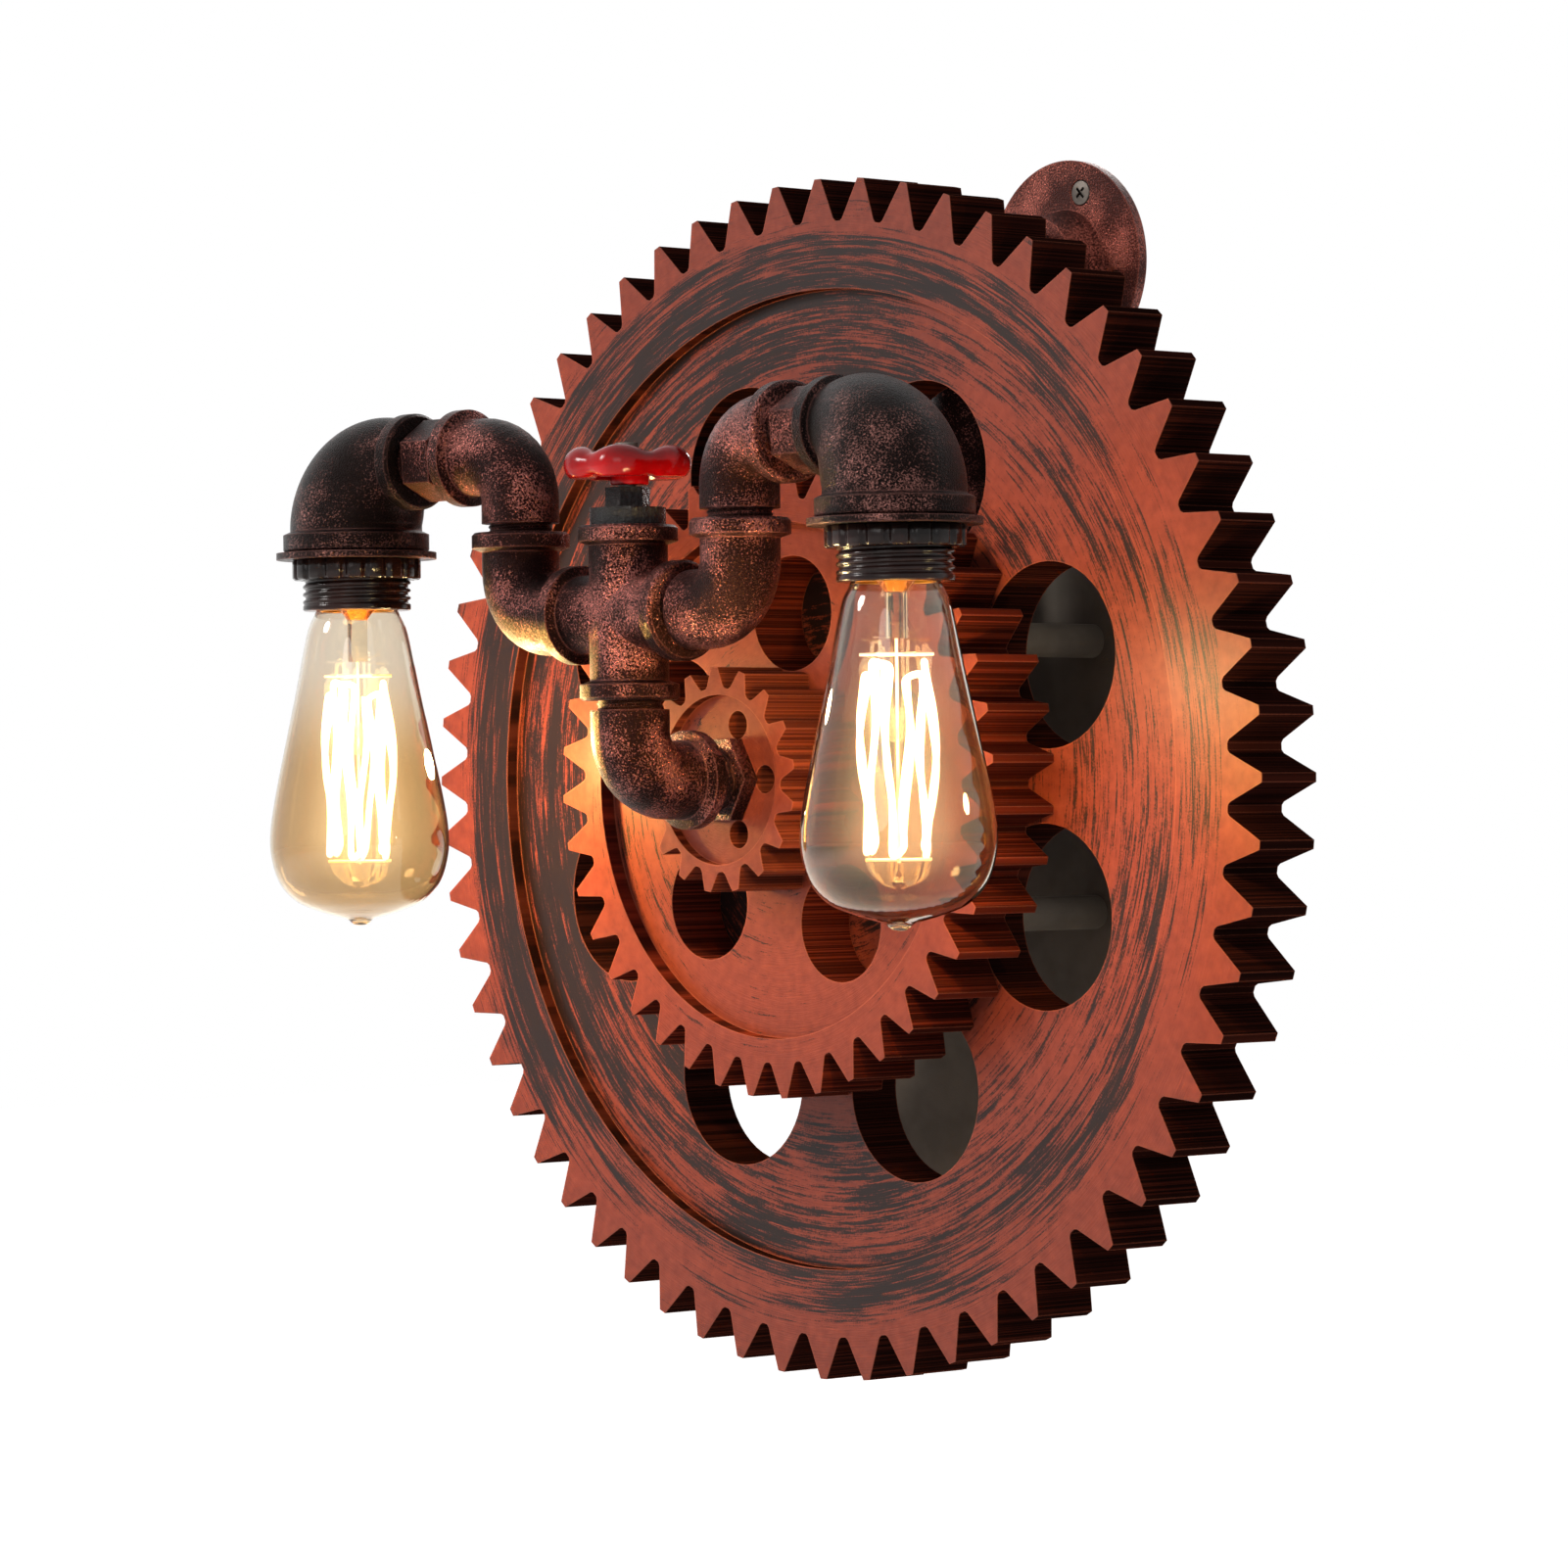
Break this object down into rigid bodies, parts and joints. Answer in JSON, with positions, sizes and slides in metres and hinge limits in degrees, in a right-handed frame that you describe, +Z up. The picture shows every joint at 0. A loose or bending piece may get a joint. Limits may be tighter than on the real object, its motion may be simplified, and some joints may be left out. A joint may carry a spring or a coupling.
{
  "type": "wall light",
  "caption": "Wall light built from threaded pipe: stacked toothed gears on a pipe flange, twin downward lamps with pear-shaped bulbs and a valve-wheel switch.",
  "frame": {"origin": "centre of the wall flange's back face, where the light is screwed to the wall", "axes": "+Y into the wall, +Z up, +X to the right of someone facing the light"},
  "size_m": [0.42, 0.2552, 0.435],
  "materials": {
    "gear_copper": "turned fibreboard painted copper red with dark brushed streaks",
    "pipe_bronze": "malleable iron with a rubbed dark bronze paint",
    "plate_black": "dark grey powder coat",
    "zinc_steel": "dulled zinc plate",
    "holder_black": "dark brown-black moulded phenolic",
    "bushing_black": "gloss black",
    "brass": "plain",
    "amber_glass": "clear amber-tinted glass",
    "filament_wire": "fine drawn wire, glowing when lit",
    "wheel_red": "gloss red enamel on a small casting"
  },
  "bodies": {
    "root": {"wall_flange": "pipe_bronze", "flange_nipple": "pipe_bronze", "rear_upper_elbow": "pipe_bronze", "rear_pipe": "pipe_bronze", "rear_lower_elbow": "pipe_bronze", "centre_nipple": "pipe_bronze", "big_gear": "gear_copper", "middle_gear": "gear_copper", "small_gear": "gear_copper", "rear_washer": "zinc_steel", "rear_locknut": "zinc_steel", "front_locknut": "zinc_steel", "back_plate": "plate_black", "plate_spacers": "zinc_steel", "plate_screws": "zinc_steel", "front_elbow": "pipe_bronze", "pipe_cross": "pipe_bronze", "switch_bushing": "bushing_black", "switch_body": "holder_black", "gland_nut": "bushing_black", "lower_elbow_left": "pipe_bronze", "upper_elbow_left": "pipe_bronze", "hex_nipple_left": "pipe_bronze", "lamp_elbow_left": "pipe_bronze", "shade_ring_left": "pipe_bronze", "ring_nut_left": "holder_black", "lampholder_left": "holder_black", "screw_shell_left": "brass", "centre_contact_left": "brass", "lower_elbow_right": "pipe_bronze", "upper_elbow_right": "pipe_bronze", "hex_nipple_right": "pipe_bronze", "lamp_elbow_right": "pipe_bronze", "shade_ring_right": "pipe_bronze", "ring_nut_right": "holder_black", "lampholder_right": "holder_black", "screw_shell_right": "brass", "centre_contact_right": "brass"},
    "valve": {"valve_wheel": "wheel_red", "wheel_screw": "zinc_steel", "spindle": "zinc_steel"},
    "bulb_left": {"bulb_glass_left": "amber_glass", "bulb_cap_left": "brass", "bulb_stem_left": "amber_glass", "bulb_supports_left": "filament_wire", "bulb_filament_left": "filament_wire"},
    "bulb_right": {"bulb_glass_right": "amber_glass", "bulb_cap_right": "brass", "bulb_stem_right": "amber_glass", "bulb_supports_right": "filament_wire", "bulb_filament_right": "filament_wire"}
  },
  "joints": [
    {"name": "valve_turn", "type": "hinge", "parent": "root", "child": "valve", "pos_m": [0, -0.2158, -0.0796], "axis": [0, 0, 1], "continuous": true},
    {"name": "bulb_left_out", "type": "slide", "parent": "root", "child": "bulb_left", "axis": [0, 0, -1], "range_m": [0, 0.032]},
    {"name": "bulb_right_out", "type": "slide", "parent": "root", "child": "bulb_right", "axis": [0, 0, -1], "range_m": [0, 0.032]}
  ]
}
